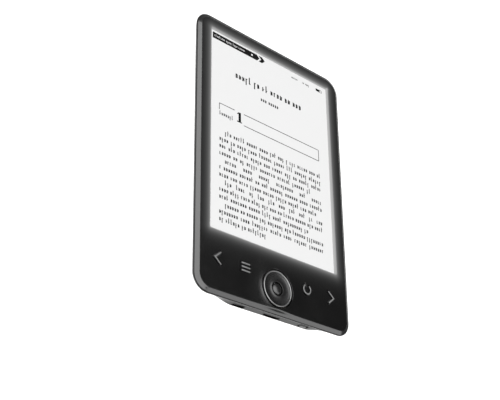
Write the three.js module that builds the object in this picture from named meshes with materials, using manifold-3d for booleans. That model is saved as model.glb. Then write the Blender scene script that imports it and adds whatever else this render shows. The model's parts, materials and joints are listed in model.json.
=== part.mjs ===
// A pocket e-reader with a six-inch electronic-paper screen, lying on its back.
// Millimetres. +Z points out of the screen, +Y to the top of the device, +X to the right of a reader.
// The origin is under the middle of the flat back. Written for three 0.186 and manifold-3d.
import * as THREE from "three";
import { mergeVertices } from "three/addons/utils/BufferGeometryUtils.js";
import Module from "manifold-3d";

const wasm = await Module();
wasm.setup();

// ---- driving dimensions -------------------------------------------------------------------------
const WIDTH = 112;
const LENGTH = 169;
const CORNER = 9.5; // outer corner radius, seen from the front
const FACE = 8.5; // height of the bezel's flat face
const PARTING = 6.2; // height where the bezel meets the rear shell
const CEILING = 7.5; // underside of the bezel, and top of the screen film

const SCREEN = { halfX: 45.6, halfY: 61.6, y: 13.9 }; // visible page and the height of its centre
const NAV = { y: -69.9, hole: 11, ring: 10.5, centreHole: 3.8, ok: 3.3, top: 9.1 };
const MOUND = { height: 8.85, plateau: 11.8, foot: 18 };
const KEY_ROW = -64; // centre line of the four page keys
const KEY = { top: 8.75, flangeTop: 7.4, flangeBottom: 6.9, gap: 0.3, stroke: 0.95 };

const GRIP = { halfX: 52.7, bottom: -65, top: 81.2, radius: 11.6, skin: 0.7, recess: 0.9, gap: 0.25 };
const PORT = { face: 0.5, flat: 26, end: 45, wall: 1.5 }; // flat stretch of the bottom end
const USB = { x: -23, width: 7.5, bottom: 1.95, length: 5.4 };
const CARD = { x: 0, width: 14.4, slot: 11.8, slotBottom: 2.85, slotTop: 4.05 };
const POWER = { x: 23, z: 3.6, width: 4.6, height: 1.9 };

const FRAME = { halfX: 52, halfY: 80.2, bottom: 5.25, top: 5.85 };
const BOARD = { halfX: 41, front: -80.6, back: -55.6, bottom: 4.45, top: 5.25 };
const FLOOR = 1.8; // inside face of the rear shell's back wall
const GLASS = { halfX: 48.25, front: -52.6, back: 77.4, bottom: 6, top: 6.6 };
const INK_TOP = 6.85;
const GUIDE_TOP = 7.3;
const KEY_BOARD_TOP = 6.1;
const DOME_TOP = 6.5;

// ---- solids and surfaces ------------------------------------------------------------------------
function solid(geometry) {
  const bare = geometry.clone();
  bare.deleteAttribute("normal");
  bare.deleteAttribute("uv");
  const merged = mergeVertices(bare, 1e-4);
  return new wasm.Manifold(
    new wasm.Mesh({
      numProp: 3,
      vertProperties: new Float32Array(merged.attributes.position.array),
      triVerts: new Uint32Array(merged.index.array),
    }),
  );
}

function geometryOf(manifold) {
  const { vertProperties, triVerts } = manifold.getMesh();
  const indexed = new THREE.BufferGeometry();
  indexed.setAttribute("position", new THREE.BufferAttribute(vertProperties, 3));
  indexed.setIndex(new THREE.BufferAttribute(triVerts, 1));
  const faceted = indexed.toNonIndexed();
  faceted.computeVertexNormals();
  return faceted;
}

const join = (first, ...rest) => rest.reduce((sum, piece) => sum.add(piece), first);
const cut = (first, ...rest) => rest.reduce((left, piece) => left.subtract(piece), first);

// A box given by its lowest and highest corner.
function block([x0, y0, z0], [x1, y1, z1]) {
  const box = new THREE.BoxGeometry(x1 - x0, y1 - y0, z1 - z0);
  return solid(box.translate((x0 + x1) / 2, (y0 + y1) / 2, (z0 + z1) / 2));
}

// A flat shape in X and Y carried up from one height to another.
function slab(shape, bottom, top, curveSegments = 6) {
  const options = { depth: top - bottom, bevelEnabled: false, curveSegments };
  return solid(new THREE.ExtrudeGeometry(shape, options).translate(0, 0, bottom));
}

// A flat shape in X and Z carried along Y.
function wallCut(shape, front, back, curveSegments = 8) {
  const options = { depth: back - front, bevelEnabled: false, curveSegments };
  const extruded = new THREE.ExtrudeGeometry(shape, options);
  return solid(extruded.rotateX(Math.PI / 2).translate(0, back, 0));
}

function roundedRectangle(x0, y0, x1, y1, radius) {
  const shape = new THREE.Shape();
  const quarter = Math.PI / 2;
  shape.absarc(x1 - radius, y0 + radius, radius, -quarter, 0);
  shape.absarc(x1 - radius, y1 - radius, radius, 0, quarter);
  shape.absarc(x0 + radius, y1 - radius, radius, quarter, 2 * quarter);
  shape.absarc(x0 + radius, y0 + radius, radius, 2 * quarter, 3 * quarter);
  shape.closePath();
  return shape;
}

function disc(x, y, radius) {
  return new THREE.Shape().absarc(x, y, radius, 0, 2 * Math.PI);
}

// A profile of [radius, height] pairs that closes on itself or on the axis, turned about an upright axis.
function turned(profile, x, y, segments = 32) {
  const points = profile.map(([radius, height]) => new THREE.Vector2(radius, height));
  const lathe = new THREE.LatheGeometry(points, segments);
  return solid(lathe.rotateX(Math.PI / 2).translate(x, y, 0));
}

// A skin through rings of equally many points, closed by a flat cap at each end.
function loft(rings) {
  const count = rings[0].length;
  const faces = [];
  for (let level = 0; level + 1 < rings.length; level++) {
    for (let i = 0; i < count; i++) {
      const a = level * count + i;
      const b = level * count + ((i + 1) % count);
      faces.push(a, b, b + count, a, b + count, a + count);
    }
  }
  const capOf = (ring) => THREE.ShapeUtils.triangulateShape(ring.map((p) => new THREE.Vector2(p.x, p.y)), []);
  const last = (rings.length - 1) * count;
  for (const [a, b, c] of capOf(rings[0])) faces.push(c, b, a);
  for (const [a, b, c] of capOf(rings.at(-1))) faces.push(last + a, last + b, last + c);
  const skin = new THREE.BufferGeometry().setFromPoints(rings.flat());
  skin.setIndex(faces);
  return solid(skin);
}

// ---- outlines of the two case halves ------------------------------------------------------------
const CORNER_STEPS = 6;
const PORT_STEPS = [-0.95, -0.85, -0.75, -0.65, -0.56, 0.56, 0.65, 0.75, 0.85, 0.95];

const portShare = (x) => 1 - THREE.MathUtils.smoothstep(Math.abs(x), PORT.flat, PORT.end);

// One level of the case: the widest outline drawn in by edge.inset at height edge.z. Where a port
// profile is given, the bottom end follows it instead, fading out towards the corners.
function outline(edge, port = edge, radius = CORNER) {
  const reachX = WIDTH / 2 - edge.inset - radius;
  const reachY = LENGTH / 2 - edge.inset - radius;
  const bottomEnd = PORT_STEPS.map((share) => {
    const x = share * reachX;
    const weight = portShare(x);
    const inset = THREE.MathUtils.lerp(edge.inset, port.inset, weight);
    return new THREE.Vector3(x, inset - LENGTH / 2, THREE.MathUtils.lerp(edge.z, port.z, weight));
  });
  const corners = [0, 1, 2, 3].flatMap((quadrant) => {
    const sideX = quadrant === 0 || quadrant === 1 ? 1 : -1;
    const sideY = quadrant === 1 || quadrant === 2 ? 1 : -1;
    return Array.from({ length: CORNER_STEPS + 1 }, (_, step) => {
      const angle = (Math.PI / 2) * (quadrant - 1 + step / CORNER_STEPS);
      const x = sideX * reachX + radius * Math.cos(angle);
      const y = sideY * reachY + radius * Math.sin(angle);
      return new THREE.Vector3(x, y, edge.z);
    });
  });
  return [...bottomEnd, ...corners];
}

const at = (inset, z) => ({ inset, z });

// The rear shell's side curls from near vertical at the parting line into the flat back.
const BACK_CURVE = new THREE.CubicBezierCurve(
  new THREE.Vector2(0.3, PARTING),
  new THREE.Vector2(1.8, 3.4),
  new THREE.Vector2(4.8, 0),
  new THREE.Vector2(9.5, 0),
);
const PORT_PROFILE = [
  at(PORT.face, PARTING),
  at(PORT.face, 5),
  at(PORT.face, 3.8),
  at(PORT.face, 2.6),
  at(PORT.face, 1.4),
  at(0.9, 0.95),
  at(2, 0.5),
  at(4.6, 0.1),
  at(9.5, 0),
];
const CURVE_STEPS = PORT_PROFILE.length - 1;

// The same curve moved inwards by a wall thickness, along its normal.
function backCurve(depth) {
  return PORT_PROFILE.map((_, step) => {
    const point = BACK_CURVE.getPoint(step / CURVE_STEPS);
    const tangent = BACK_CURVE.getTangent(step / CURVE_STEPS);
    return at(point.x - depth * tangent.y, point.y + depth * tangent.x);
  });
}

// The rear shell's volume, drawn in by depth all round. Rings run from the back up.
function backVolume(depth, portDepth = depth) {
  const port = PORT_PROFILE.map(({ inset, z }) => at(inset + portDepth, Math.max(z, depth)));
  const rings = backCurve(depth).map((edge, step) => outline(edge, port[step]));
  return loft(rings.reverse());
}

// ---- case ---------------------------------------------------------------------------------------
const CASE_SCREWS = [-1, 1].flatMap((side) => [
  [side * 50.3, 62],
  [side * 50.3, 14],
  [side * 50.3, -34],
  [side * 47, -74.5],
]);
const BOARD_SCREWS = [-38, 38].map((x) => [x, -68]);

const gripOutline = (grow) =>
  roundedRectangle(-GRIP.halfX - grow, GRIP.bottom - grow, GRIP.halfX + grow, GRIP.top + grow, GRIP.radius);

function gripPanel() {
  const skin = cut(backVolume(0), backVolume(GRIP.skin));
  return skin.intersect(slab(gripOutline(0), -1, 5));
}

// The slots for the two connectors, the card's thumb scoop, and the power button's hole and notch.
function portCuts() {
  const front = -LENGTH / 2 - 1;
  const inside = -LENGTH / 2 + PORT.face + PORT.wall + 1;
  const usbSide = USB.width / 2 + 0.2;
  const usb = block([USB.x - usbSide, front, USB.bottom - 0.2], [USB.x + usbSide, inside, BOARD.bottom + 0.2]);
  const card = block(
    [CARD.x - CARD.slot / 2, front, CARD.slotBottom - 0.1],
    [CARD.x + CARD.slot / 2, inside, CARD.slotTop + 0.1],
  );
  const scoop = new THREE.Shape();
  scoop.moveTo(CARD.x + CARD.slot / 2, CARD.slotBottom);
  scoop.quadraticCurveTo(CARD.x, 0.4, CARD.x - CARD.slot / 2, CARD.slotBottom);
  scoop.closePath();
  const halfWidth = POWER.width / 2 + 0.2;
  const halfHeight = POWER.height / 2 + 0.2;
  const hole = roundedRectangle(
    POWER.x - halfWidth,
    POWER.z - halfHeight,
    POWER.x + halfWidth,
    POWER.z + halfHeight,
    halfHeight - 0.01,
  );
  const notch = roundedRectangle(POWER.x - 3.4, POWER.z - 1.5, POWER.x + 3.4, POWER.z + 1.9, 1.2);
  const faceY = -LENGTH / 2 + PORT.face;
  return [
    usb,
    card,
    wallCut(scoop, front, faceY + 0.8),
    wallCut(hole, front, inside, 4),
    wallCut(notch, front, faceY + 0.5, 4),
  ];
}

function rearShell() {
  const outer = backVolume(0);
  const aboveFloor = block([-WIDTH, -LENGTH, FLOOR], [WIDTH, LENGTH, 2 * FACE]);
  const cavity = backVolume(PORT.wall).intersect(aboveFloor);
  const bossLimit = backVolume(PORT.wall - 0.3);
  const bosses = CASE_SCREWS.map(([x, y]) => slab(disc(x, y, 2.3), 1, FRAME.bottom, 5).intersect(bossLimit));
  const pilots = CASE_SCREWS.map(([x, y]) => slab(disc(x, y, 0.65), 3, PARTING, 3));
  const recess = cut(outer, backVolume(GRIP.recess)).intersect(slab(gripOutline(GRIP.gap), -1, 5));
  return cut(join(cut(outer, cavity, recess), ...bosses), ...pilots, ...portCuts());
}

// The key symbols are both the raised caps and, a little larger, the holes that they stand in.
function chevron(tipX, side, grow) {
  const reach = 3.7;
  const rise = 3.2;
  const length = Math.hypot(reach, rise);
  const half = KEY.stroke / 2 + grow;
  const alongX = (reach / length) * half;
  const alongY = (rise / length) * half;
  const elbow = (half * length) / rise;
  const points = [
    [-elbow, 0],
    [reach - alongY + alongX, rise + alongX + alongY],
    [reach + alongY + alongX, rise - alongX + alongY],
    [elbow, 0],
    [reach + alongY + alongX, -(rise - alongX + alongY)],
    [reach - alongY + alongX, -(rise + alongX + alongY)],
  ];
  const placed = points.map(([x, y]) => new THREE.Vector2(tipX + side * x, KEY_ROW + y));
  return [new THREE.Shape(side > 0 ? placed.reverse() : placed)];
}

function bars(x, grow) {
  const half = 3.05 + grow;
  const thick = KEY.stroke / 2 + Math.min(grow, 0.25);
  return [-2.1, 0, 2.1].map((rise) =>
    roundedRectangle(x - half, KEY_ROW + rise - thick, x + half, KEY_ROW + rise + thick, 0.15),
  );
}

function openRing(x, grow) {
  const middle = 2.65;
  const half = KEY.stroke / 2 + grow;
  const gap = 0.62 - grow / middle;
  const shape = new THREE.Shape();
  shape.absarc(x, KEY_ROW, middle + half, Math.PI / 2 + gap, (5 * Math.PI) / 2 - gap);
  shape.absarc(x, KEY_ROW, middle - half, (5 * Math.PI) / 2 - gap, Math.PI / 2 + gap, true);
  shape.closePath();
  return [shape];
}

const KEYS = [
  { name: "page_back_key", x: -41.7, arcSteps: 1, symbol: (grow) => chevron(-43.2, 1, grow) },
  { name: "menu_key", x: -22.3, arcSteps: 1, symbol: (grow) => bars(-22.3, grow) },
  { name: "return_key", x: 22.4, arcSteps: 8, symbol: (grow) => openRing(22.4, grow) },
  { name: "page_forward_key", x: 41.7, arcSteps: 1, symbol: (grow) => chevron(43.2, -1, grow) },
];

const symbolSlabs = ({ symbol, arcSteps }, grow, bottom, top) =>
  symbol(grow).map((shape) => slab(shape, bottom, top, arcSteps));

function pageKey(key) {
  const { x } = key;
  const caps = symbolSlabs(key, 0, KEY.flangeBottom + 0.1, KEY.top);
  const flange = roundedRectangle(x - 5, KEY_ROW - 4.8, x + 5, KEY_ROW + 4.8, 1.5);
  return join(slab(flange, KEY.flangeBottom, KEY.flangeTop, 3), ...caps);
}

// The bezel's face is flat inside a crease, with a sloping border outside it and a low round mound
// about the navigation pad, which runs out into the border at the bottom end.
function frontBezel() {
  const skirt = [at(0.35, PARTING + 0.05), at(0, 6.9), at(0, 7.25), at(0.8, 7.75)];
  const rings = [...skirt, at(3, FACE)].map((level) => outline(level, level, CORNER - level.inset));
  const steepRings = [at(0.8, 7), at(0.8, 7.75), at(2.8, MOUND.height)].map((level) =>
    outline(level, level, CORNER - level.inset),
  );
  const hill = turned([[0, 7.6], [MOUND.foot, 7.6], [MOUND.foot, FACE], [14.6, 8.62],
    [MOUND.plateau, MOUND.height], [0, MOUND.height]], 0, NAV.y, 36);
  const body = loft(rings).add(hill.intersect(loft(steepRings)));
  const hollow = roundedRectangle(-54.3, -82.8, 54.3, 82.8, 7.6);
  const depth = FACE + 0.1 - CEILING;
  const window = loft(
    [0, depth].map((rise) => {
      const grow = (rise * 1.3) / (FACE - CEILING);
      const pane = roundedRectangle(
        -SCREEN.halfX - grow,
        SCREEN.y - SCREEN.halfY - grow,
        SCREEN.halfX + grow,
        SCREEN.y + SCREEN.halfY + grow,
        0.5 + grow,
      );
      return pane.getPoints(3).slice(0, -1).map((p) => new THREE.Vector3(p.x, p.y, CEILING + rise));
    }),
  );
  const deepWindow = block(
    [-SCREEN.halfX, SCREEN.y - SCREEN.halfY, PARTING],
    [SCREEN.halfX, SCREEN.y + SCREEN.halfY, CEILING + 0.1],
  );
  const holes = KEYS.flatMap((key) => symbolSlabs(key, KEY.gap, PARTING, FACE + 1));
  const navHole = slab(disc(0, NAV.y, NAV.hole), 6, 10, 18);
  return cut(body, slab(hollow, 5, CEILING), window, deepWindow, navHole, ...holes);
}

// ---- navigation pad and power button -------------------------------------------------------------
// A dished ring that rocks four ways, with four pins that reach down to the domes.
function navRing() {
  const seat = NAV.ring - 1;
  const dish = [[NAV.centreHole, 7.4], [NAV.ring, 7.4], [NAV.ring, 8.2], [seat, 8.2], [seat, 8.85],
    [8.4, 8.62], [6.4, 8.5], [4.9, 8.55], [4.2, 8.7], [NAV.centreHole, 8.7], [NAV.centreHole, 7.4]];
  const pins = DOMES.filter(({ rock }) => rock).map(({ x, y }) => slab(disc(x, y, 0.8), 6.7, 7.5, 3));
  return join(turned(dish, 0, NAV.y, 36), ...pins);
}

function navRim() {
  const inner = NAV.ring - 0.95;
  const profile = [[inner, 8.25], [NAV.ring, 8.25], [NAV.ring, 8.9], [NAV.ring - 0.3, NAV.top],
    [inner + 0.25, NAV.top], [inner, 8.95], [inner, 8.25]];
  return turned(profile, 0, NAV.y, 36);
}

// A thin gimbal ring: it stands on two feet left and right, and the pad stands on two more, above
// and below, so the pair tilts about X and then about Y.
function navCarrier() {
  const ring = turned([[8.4, 6.8], [10, 6.8], [10, 7.05], [8.4, 7.05], [8.4, 6.8]], 0, NAV.y, 32);
  const feet = [-9.2, 9.2].flatMap((reach) => [
    block([reach - 0.5, NAV.y - 0.4, KEY_BOARD_TOP + 0.03], [reach + 0.5, NAV.y + 0.4, 6.9]),
    block([-0.4, NAV.y + reach - 0.5, 6.9], [0.4, NAV.y + reach + 0.5, 7.37]),
  ]);
  return join(ring, ...feet);
}

function okButton() {
  const profile = [[0, 6.9], [1.2, 6.9], [1.2, 7.4], [NAV.ok, 7.4], [NAV.ok, 8.5], [2.9, 8.8],
    [2, 8.98], [1, 9.05], [0, 9.07]];
  return turned(profile, 0, NAV.y, 28);
}

function powerButton() {
  const halfWidth = POWER.width / 2;
  const halfHeight = POWER.height / 2;
  const stadium = roundedRectangle(
    POWER.x - halfWidth,
    POWER.z - halfHeight,
    POWER.x + halfWidth,
    POWER.z + halfHeight,
    halfHeight - 0.01,
  );
  const cap = wallCut(stadium, -LENGTH / 2 + 0.15, -82.3, 5);
  const flange = block([POWER.x - 3.1, -82.4, POWER.z - 0.8], [POWER.x + 3.1, -81.95, POWER.z + 0.8]);
  return cap.add(flange);
}

// ---- switches under the keys ---------------------------------------------------------------------
const DOMES = [
  { name: "page_back_dome", x: -41.7, y: KEY_ROW },
  { name: "menu_dome", x: -22.3, y: KEY_ROW },
  { name: "return_dome", x: 22.4, y: KEY_ROW },
  { name: "page_forward_dome", x: 41.7, y: KEY_ROW },
  { name: "nav_up_dome", x: 0, y: NAV.y + 6, rock: true },
  { name: "nav_down_dome", x: 0, y: NAV.y - 6, rock: true },
  { name: "nav_left_dome", x: -6, y: NAV.y, rock: true },
  { name: "nav_right_dome", x: 6, y: NAV.y, rock: true },
  { name: "ok_dome", x: 0, y: NAV.y },
];

function switchDome({ x, y }) {
  const profile = [[0, KEY_BOARD_TOP], [2, KEY_BOARD_TOP], [1.7, 6.3], [1, 6.44], [0, DOME_TOP]];
  return turned(profile, x, y, 14);
}

const keyBoard = () => slab(roundedRectangle(-45, -79.9, 45, -57.4, 2), FRAME.top, KEY_BOARD_TOP, 3);

// ---- screen stack --------------------------------------------------------------------------------
const screenLayer = (growX, growY, bottom, top) =>
  block(
    [-SCREEN.halfX - growX, SCREEN.y - SCREEN.halfY - growY, bottom],
    [SCREEN.halfX + growX, SCREEN.y + SCREEN.halfY + growY, top],
  );

function lightStrip() {
  const front = -50.3;
  const strip = block([-46, front, INK_TOP], [46, front + 0.7, GUIDE_TOP]);
  const lamps = Array.from({ length: 8 }, (_, i) => {
    const x = -40.25 + i * 11.5;
    return block([x - 1.6, front + 0.6, INK_TOP], [x + 1.6, front + 1.4, GUIDE_TOP]);
  });
  return join(strip, ...lamps);
}

function displayTape() {
  const outer = block([-GLASS.halfX, GLASS.front, FRAME.top], [GLASS.halfX, GLASS.back, GLASS.bottom]);
  return cut(outer, block([-44, -48, 5], [44, 73, 7]));
}

const backplaneGlass = () =>
  block([-GLASS.halfX, GLASS.front, GLASS.bottom], [GLASS.halfX, GLASS.back, GLASS.top]);

// A ribbon from the glass ledge, round the lower edge of the frame, to its connector on the board.
function displayFlex() {
  const route = new THREE.CatmullRomCurve3(
    [[-51.5, 6.68], [-52.6, 6.68], [-53.6, 6.35], [-53.95, 5.6], [-54.05, 4.9], [-54.6, 4.3], [-55.6, 4.2],
      [-56.8, 4.2]].map(([y, z]) => new THREE.Vector3(0, y, z)),
  );
  const middle = route.getPoints(16);
  const half = 0.07;
  const side = (sign) =>
    middle.map((point, i) => {
      const tangent = route.getTangent(i / 16);
      return new THREE.Vector2(point.y - sign * half * tangent.z, point.z + sign * half * tangent.y);
    });
  const section = new THREE.Shape([...side(1), ...side(-1).reverse()]);
  const ribbon = new THREE.ExtrudeGeometry(section, { depth: 36, bevelEnabled: false });
  return solid(ribbon.rotateY(Math.PI / 2).rotateX(Math.PI / 2).translate(-18, 0, 0));
}

// ---- frame, board and battery --------------------------------------------------------------------
function midFrame() {
  const plate = slab(
    roundedRectangle(-FRAME.halfX, -FRAME.halfY, FRAME.halfX, FRAME.halfY, 7),
    FRAME.bottom,
    FRAME.top,
    4,
  );
  const lightening = [-1, 1].flatMap((side) =>
    [-26, 14, 54].map((y) =>
      slab(roundedRectangle(side * 22 - 14, y - 15, side * 22 + 14, y + 15, 3), 5, 6, 1),
    ),
  );
  const flexSlot = block([-19.5, -55.3, 5], [19.5, -52.9, 6]);
  const holes = [...CASE_SCREWS, ...BOARD_SCREWS].map(([x, y]) => slab(disc(x, y, 0.8), 5, 6, 3));
  return cut(plate, ...lightening, flexSlot, ...holes);
}

function caseScrew([x, y]) {
  const profile = [[0, 3.2], [0.55, 3.2], [0.55, FRAME.top], [1.3, FRAME.top], [1.3, 6.15], [0.9, 6.35],
    [0, 6.35]];
  return turned(profile, x, y, 12);
}

function boardScrew([x, y]) {
  const head = BOARD.bottom - 0.45;
  const profile = [[0, head], [1.3, head], [1.3, BOARD.bottom], [0.55, BOARD.bottom], [0.55, 5.7], [0, 5.7]];
  return turned(profile, x, y, 12);
}

function mainboard() {
  const plate = slab(
    roundedRectangle(-BOARD.halfX, BOARD.front, BOARD.halfX, BOARD.back, 1.5),
    BOARD.bottom,
    BOARD.top,
    3,
  );
  return cut(plate, ...BOARD_SCREWS.map(([x, y]) => slab(disc(x, y, 0.8), 4, 6, 3)));
}

// A part soldered to the back of the board: its middle, its size, and how far it hangs down.
function chip(x, y, width, length, height) {
  const low = [x - width / 2, y - length / 2, BOARD.bottom - height];
  return block(low, [x + width / 2, y + length / 2, BOARD.bottom]);
}

function usbSocket() {
  const front = -LENGTH / 2 + PORT.face + 0.35;
  const half = USB.width / 2;
  const wall = 0.3;
  const shell = block([USB.x - half, front, USB.bottom], [USB.x + half, front + USB.length, BOARD.bottom]);
  const mouth = block(
    [USB.x - half + wall, front - 1, USB.bottom + wall],
    [USB.x + half - wall, front + USB.length - wall, BOARD.bottom - wall],
  );
  return cut(shell, mouth);
}

function usbTongue() {
  const back = -LENGTH / 2 + PORT.face + 0.35 + USB.length - 0.3;
  return block([USB.x - 2.1, back - 3.9, 3.15], [USB.x + 2.1, back, 3.8]);
}

const CARD_FRONT = -82.3;
const CARD_BACK = -69;

const cardSocketBase = () =>
  block([-CARD.width / 2, CARD_FRONT, CARD.slotTop], [CARD.width / 2, CARD_BACK, BOARD.bottom]);

function cardSocketCover() {
  const half = CARD.width / 2;
  const bottom = CARD.slotBottom - 0.2;
  const sheet = block([-half, CARD_FRONT, bottom], [half, CARD_BACK, CARD.slotTop]);
  return cut(sheet, block([0.2 - half, CARD_FRONT - 1, CARD.slotBottom], [half - 0.2, CARD_BACK - 0.2, 5]));
}

const BATTERY = { halfX: 34, front: -44, back: 48, top: 5 };

// A lead from the battery's own board to the plug on the mainboard.
function batteryLead(x) {
  const route = new THREE.CatmullRomCurve3([
    new THREE.Vector3(x, -46.95, 3.6),
    new THREE.Vector3(x, -49, 3.4),
    new THREE.Vector3(x - 2.5, -51.5, 2.9),
    new THREE.Vector3(x - 4, -54, 3.1),
    new THREE.Vector3(x - 4, -56.95, 3.4),
  ]);
  const section = new THREE.Shape().absarc(0, 0, 0.4, 0, 2 * Math.PI);
  const options = { steps: 14, extrudePath: route, curveSegments: 4, bevelEnabled: false };
  return solid(new THREE.ExtrudeGeometry(section, options));
}

// ---- assembly ------------------------------------------------------------------------------------
const finish = (color, roughness, metalness = 0) =>
  new THREE.MeshStandardMaterial({ color, roughness, metalness });

const BLACK_CASE = finish(0x1f1f20, 0.45);
const GRIP_BLACK = finish(0x222223, 0.55);
const KEY_GREY = finish(0x3a3a3b, 0.4);
const BRIGHT_RIM = finish(0x9c9c9e, 0.25, 1);
const PAPER_WHITE = finish(0xf0f0ee, 0.6);
const CLEAR = finish(0xdfe6e8, 0.1);
const GLASS_GREY = finish(0xa9b5b5, 0.1);
const TAPE_BLACK = finish(0x101010, 0.8);
const MAGNESIUM = finish(0x9a9c9e, 0.45, 1);
const POLYIMIDE = finish(0x9a5a16, 0.4);
const BOARD_GREEN = finish(0x1c4a2e, 0.5);
const STEEL = finish(0xb4b6b8, 0.3, 1);
const CHIP_BLACK = finish(0x18181a, 0.55);
const SOCKET_BLACK = finish(0x151515, 0.6);
const CELL_SILVER = finish(0xb0b2b6, 0.35, 0.8);
const LEAD_RED = finish(0xa01818, 0.5);

const ereader = new THREE.Group();

function add(name, manifold, material) {
  const mesh = new THREE.Mesh(geometryOf(manifold), material);
  mesh.name = name;
  ereader.add(mesh);
}

add("front_bezel", frontBezel(), BLACK_CASE);
add("rear_shell", rearShell(), BLACK_CASE);
add("grip_panel", gripPanel(), GRIP_BLACK);

for (const key of KEYS) add(key.name, pageKey(key), KEY_GREY);
add("nav_ring", navRing(), BLACK_CASE);
add("nav_rim", navRim(), BRIGHT_RIM);
add("nav_carrier", navCarrier(), STEEL);
add("ok_button", okButton(), KEY_GREY);
add("power_button", powerButton(), KEY_GREY);
for (const dome of DOMES) add(dome.name, switchDome(dome), STEEL);
add("key_board", keyBoard(), POLYIMIDE);

add("screen_film", screenLayer(2.6, 1.8, GUIDE_TOP, CEILING), CLEAR);
add("light_guide", screenLayer(1, 1, INK_TOP, GUIDE_TOP), CLEAR);
add("light_strip", lightStrip(), POLYIMIDE);
add("ink_film", screenLayer(0.8, 0.8, GLASS.top, INK_TOP), PAPER_WHITE);
add("backplane_glass", backplaneGlass(), GLASS_GREY);
add("display_driver", block([-9, -51.2, GLASS.top], [9, -50, 6.8]), CHIP_BLACK);
add("display_tape", displayTape(), TAPE_BLACK);
add("display_flex", displayFlex(), POLYIMIDE);

add("mid_frame", midFrame(), MAGNESIUM);
add("mainboard", mainboard(), BOARD_GREEN);
add("display_connector", chip(0, -58.7, 38, 3.6, 1.2), SOCKET_BLACK);
add("processor_shield", chip(-17.5, -66.5, 16, 9, 1.6), STEEL);
add("memory_chip", chip(15, -65.4, 11, 8, 1.1), CHIP_BLACK);
add("power_chip", chip(29, -66, 6, 6, 0.9), CHIP_BLACK);
add("usb_socket", usbSocket(), STEEL);
add("usb_tongue", usbTongue(), SOCKET_BLACK);
add("card_socket_base", cardSocketBase(), SOCKET_BLACK);
add("card_socket_cover", cardSocketCover(), STEEL);
add("power_switch", chip(POWER.x, -79.6, 6, 3.2, 1.7), SOCKET_BLACK);
add("battery", block([-BATTERY.halfX, BATTERY.front, 2], [BATTERY.halfX, BATTERY.back, BATTERY.top]), CELL_SILVER);
add("battery_tape", block([-28, -38, FLOOR], [28, 42, 2]), TAPE_BLACK);
add("battery_board", block([-30, -46.9, 3.2], [-12, BATTERY.front, 4.4]), BOARD_GREEN);
add("battery_lead_red", batteryLead(-22), LEAD_RED);
add("battery_lead_black", batteryLead(-24.5), TAPE_BLACK);
add("battery_connector", chip(-27.2, -58.7, 7, 3.4, 1.5), PAPER_WHITE);
CASE_SCREWS.forEach((place, i) => add(`case_screw_${i + 1}`, caseScrew(place), STEEL));
BOARD_SCREWS.forEach((place, i) => add(`board_screw_${i + 1}`, boardScrew(place), STEEL));

export default ereader;
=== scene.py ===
import json
import math

import bmesh
import bpy
import numpy as np
from mathutils import Matrix, Vector


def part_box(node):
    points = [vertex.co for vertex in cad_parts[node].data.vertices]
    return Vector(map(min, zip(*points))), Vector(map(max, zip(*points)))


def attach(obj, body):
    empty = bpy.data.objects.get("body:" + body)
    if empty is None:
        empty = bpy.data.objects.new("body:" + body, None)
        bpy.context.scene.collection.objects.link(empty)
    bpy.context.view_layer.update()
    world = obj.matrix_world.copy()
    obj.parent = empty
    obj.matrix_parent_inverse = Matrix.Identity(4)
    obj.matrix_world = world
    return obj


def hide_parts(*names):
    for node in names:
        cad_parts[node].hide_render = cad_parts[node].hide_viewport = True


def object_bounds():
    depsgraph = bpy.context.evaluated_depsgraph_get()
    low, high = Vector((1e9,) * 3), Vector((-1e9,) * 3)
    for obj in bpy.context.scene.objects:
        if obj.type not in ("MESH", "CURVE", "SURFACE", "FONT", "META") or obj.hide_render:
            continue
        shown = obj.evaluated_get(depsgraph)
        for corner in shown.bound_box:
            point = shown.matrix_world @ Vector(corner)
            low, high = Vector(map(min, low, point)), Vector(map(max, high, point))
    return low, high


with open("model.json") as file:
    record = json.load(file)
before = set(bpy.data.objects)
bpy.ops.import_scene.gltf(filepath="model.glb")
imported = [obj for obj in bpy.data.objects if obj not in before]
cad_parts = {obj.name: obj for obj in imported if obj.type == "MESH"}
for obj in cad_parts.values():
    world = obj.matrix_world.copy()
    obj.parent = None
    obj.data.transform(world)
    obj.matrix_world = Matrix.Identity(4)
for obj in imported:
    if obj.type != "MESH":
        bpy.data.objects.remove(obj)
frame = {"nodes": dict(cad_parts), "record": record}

# An e-reader with a six-inch electronic-paper page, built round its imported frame. Lengths are worked
# out in millimetres and turned into metres when a mesh is made. +Z points out of the page, +Y to the
# top of the device, and the origin is under the middle of the flat back.
MM = 0.001
CAD_LOW, CAD_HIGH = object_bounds()
HALF_X = CAD_HIGH.x / MM
HALF_Y = CAD_HIGH.y / MM


def box_mm(node):
    """The lowest and highest corner of a frame node, in millimetres."""
    low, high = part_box(node)
    return np.array(low) / MM, np.array(high) / MM


def middle_mm(node):
    low, high = box_mm(node)
    return (low + high) / 2


# ---- driving dimensions -------------------------------------------------------------------------
CORNER = 9.5  # outer corner radius of the case, seen from the front
FACE = 8.5  # height of the flat face of the bezel
PARTING = box_mm("rear_shell")[1][2]  # top of the rear shell
LIP = PARTING + 0.14  # lower edge of the bezel
GROOVE = (0.9, 0.48)  # depth and height of the step in the shell's rim that shows as the parting line
FILM_TOP = box_mm("screen_film")[1][2]
PAGE_LAP = (2.6, 1.8)  # how far the film reaches under the bezel
PAGE_HALF_X = box_mm("screen_film")[1][0] - PAGE_LAP[0]
PAGE_HALF_Y = (box_mm("screen_film")[1][1] - box_mm("screen_film")[0][1]) / 2 - PAGE_LAP[1]
PAGE_Y = middle_mm("screen_film")[1]

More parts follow.
